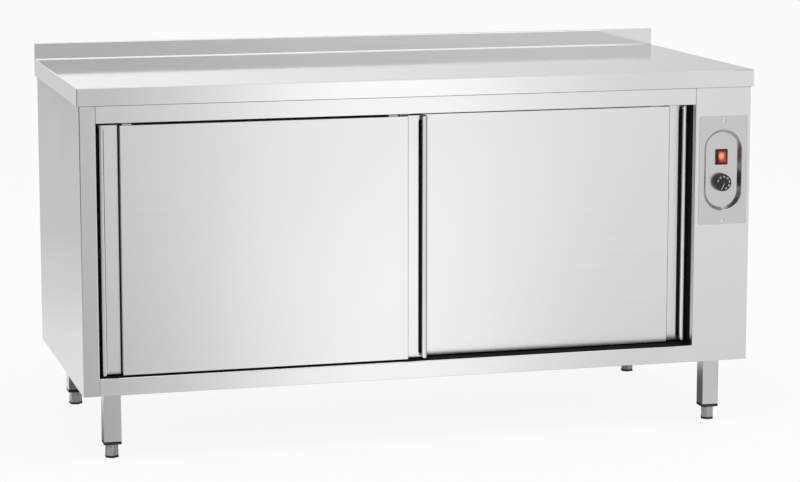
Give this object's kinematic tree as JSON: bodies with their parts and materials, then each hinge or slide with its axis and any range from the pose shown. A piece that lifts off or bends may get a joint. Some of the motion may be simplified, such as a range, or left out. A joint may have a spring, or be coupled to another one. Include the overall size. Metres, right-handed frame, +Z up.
{
  "type": "plate warmer cabinet",
  "caption": "Stainless floor-standing hot cupboard with a worktop and upstand, hanging sliding double-wall doors, a shelf, a fan heater and a control column.",
  "frame": {"origin": "on the floor, under the middle of the worktop's outline", "axes": "+X to the right as seen from the front, along the length; +Y to the back; +Z up"},
  "size_m": [1.6, 0.7006, 0.89],
  "materials": {
    "worktop_steel": "satin",
    "panel_steel": "satin",
    "frame_steel": "satin",
    "liner_steel": "satin",
    "gear_steel": "satin",
    "plate_steel": "satin",
    "door_steel": "satin",
    "door_core": "matte",
    "insulation": "matte",
    "board": "matte",
    "leg_steel": "satin",
    "foot_steel": "satin",
    "black_plastic": "satin",
    "knob_plastic": "satin",
    "lens_red": "gloss",
    "buffer_rubber": "matte",
    "roller_nylon": "satin",
    "device_grey": "satin",
    "terminal_plastic": "satin",
    "copper": "satin"
  },
  "bodies": {
    "cabinet": {"worktop": "worktop_steel", "worktop_board": "board", "left_side_panel": "panel_steel", "right_side_panel": "panel_steel", "back_panel": "panel_steel", "base_panel": "panel_steel", "top_rail": "frame_steel", "bottom_rail": "frame_steel", "control_column": "frame_steel", "left_liner": "liner_steel", "right_liner": "liner_steel", "back_liner": "liner_steel", "floor_liner": "liner_steel", "ceiling_liner": "liner_steel", "wall_insulation": "insulation", "door_track": "gear_steel", "door_guide": "gear_steel", "door_buffers": "buffer_rubber", "shelf": "liner_steel", "shelf_brackets": "liner_steel", "leg_front_left": "leg_steel", "leg_front_right": "leg_steel", "leg_rear_left": "leg_steel", "leg_rear_right": "leg_steel", "leg_inserts": "black_plastic", "control_plate": "plate_steel", "plate_screws": "gear_steel", "switch_bezel": "black_plastic", "thermostat_body": "device_grey", "temperature_sensor": "copper", "fan_motor": "device_grey", "heating_element": "gear_steel", "terminal_block": "terminal_plastic", "cable_gland": "black_plastic"},
    "left_door": {"left_door_front_skin": "door_steel", "left_door_back_skin": "door_steel", "left_door_core": "door_core", "left_door_handles": "door_steel", "left_door_hangers": "gear_steel"},
    "right_door": {"right_door_front_skin": "door_steel", "right_door_back_skin": "door_steel", "right_door_core": "door_core", "right_door_handles": "door_steel", "right_door_hangers": "gear_steel"},
    "left_roller_a": {"left_door_roller_a": "roller_nylon"},
    "left_roller_b": {"left_door_roller_b": "roller_nylon"},
    "right_roller_a": {"right_door_roller_a": "roller_nylon"},
    "right_roller_b": {"right_door_roller_b": "roller_nylon"},
    "rocker": {"switch_rocker": "lens_red"},
    "knob": {"thermostat_knob": "knob_plastic", "thermostat_spindle": "gear_steel"},
    "fan": {"fan_wheel": "gear_steel"},
    "foot_front_left": {"foot_front_left": "foot_steel", "pad_front_left": "black_plastic"},
    "foot_front_right": {"foot_front_right": "foot_steel", "pad_front_right": "black_plastic"},
    "foot_rear_left": {"foot_rear_left": "foot_steel", "pad_rear_left": "black_plastic"},
    "foot_rear_right": {"foot_rear_right": "foot_steel", "pad_rear_right": "black_plastic"}
  },
  "joints": [
    {"name": "left_door_slide", "type": "slide", "parent": "cabinet", "child": "left_door", "axis": [1, 0, 0], "range_m": [0, 0.647]},
    {"name": "right_door_slide", "type": "slide", "parent": "cabinet", "child": "right_door", "axis": [1, 0, 0], "range_m": [-0.647, 0]},
    {"name": "left_roller_a_spin", "type": "hinge", "parent": "left_door", "child": "left_roller_a", "pos_m": [-0.686, -0.3227, 0.79], "axis": [0, 1, 0], "continuous": true},
    {"name": "left_roller_b_spin", "type": "hinge", "parent": "left_door", "child": "left_roller_b", "pos_m": [-0.0729, -0.3227, 0.79], "axis": [0, 1, 0], "continuous": true},
    {"name": "right_roller_a_spin", "type": "hinge", "parent": "right_door", "child": "right_roller_a", "pos_m": [-0.0379, -0.2907, 0.79], "axis": [0, 1, 0], "continuous": true},
    {"name": "right_roller_b_spin", "type": "hinge", "parent": "right_door", "child": "right_roller_b", "pos_m": [0.5752, -0.2907, 0.79], "axis": [0, 1, 0], "continuous": true},
    {"name": "rocker_tilt", "type": "hinge", "parent": "cabinet", "child": "rocker", "pos_m": [0.728, -0.3332, 0.643], "axis": [1, 0, 0], "range_deg": [0, 20]},
    {"name": "knob_turn", "type": "hinge", "parent": "cabinet", "child": "knob", "pos_m": [0.728, -0.3336, 0.583], "axis": [0, 1, 0], "range_deg": [0, 270]},
    {"name": "fan_spin", "type": "hinge", "parent": "cabinet", "child": "fan", "pos_m": [0.68, 0.03, 0.36], "axis": [1, 0, 0], "continuous": true},
    {"name": "foot_front_left_screw", "type": "slide", "parent": "cabinet", "child": "foot_front_left", "axis": [0, 0, -1], "range_m": [0, 0.05]},
    {"name": "foot_front_right_screw", "type": "slide", "parent": "cabinet", "child": "foot_front_right", "axis": [0, 0, -1], "range_m": [0, 0.05]},
    {"name": "foot_rear_left_screw", "type": "slide", "parent": "cabinet", "child": "foot_rear_left", "axis": [0, 0, -1], "range_m": [0, 0.05]},
    {"name": "foot_rear_right_screw", "type": "slide", "parent": "cabinet", "child": "foot_rear_right", "axis": [0, 0, -1], "range_m": [0, 0.05]}
  ],
  "couplings": [
    {"joint": "left_roller_a_spin", "follows": "left_door_slide", "rad_per_m": 111.11},
    {"joint": "left_roller_b_spin", "follows": "left_door_slide", "rad_per_m": 111.11},
    {"joint": "right_roller_a_spin", "follows": "right_door_slide", "rad_per_m": 111.11},
    {"joint": "right_roller_b_spin", "follows": "right_door_slide", "rad_per_m": 111.11}
  ]
}
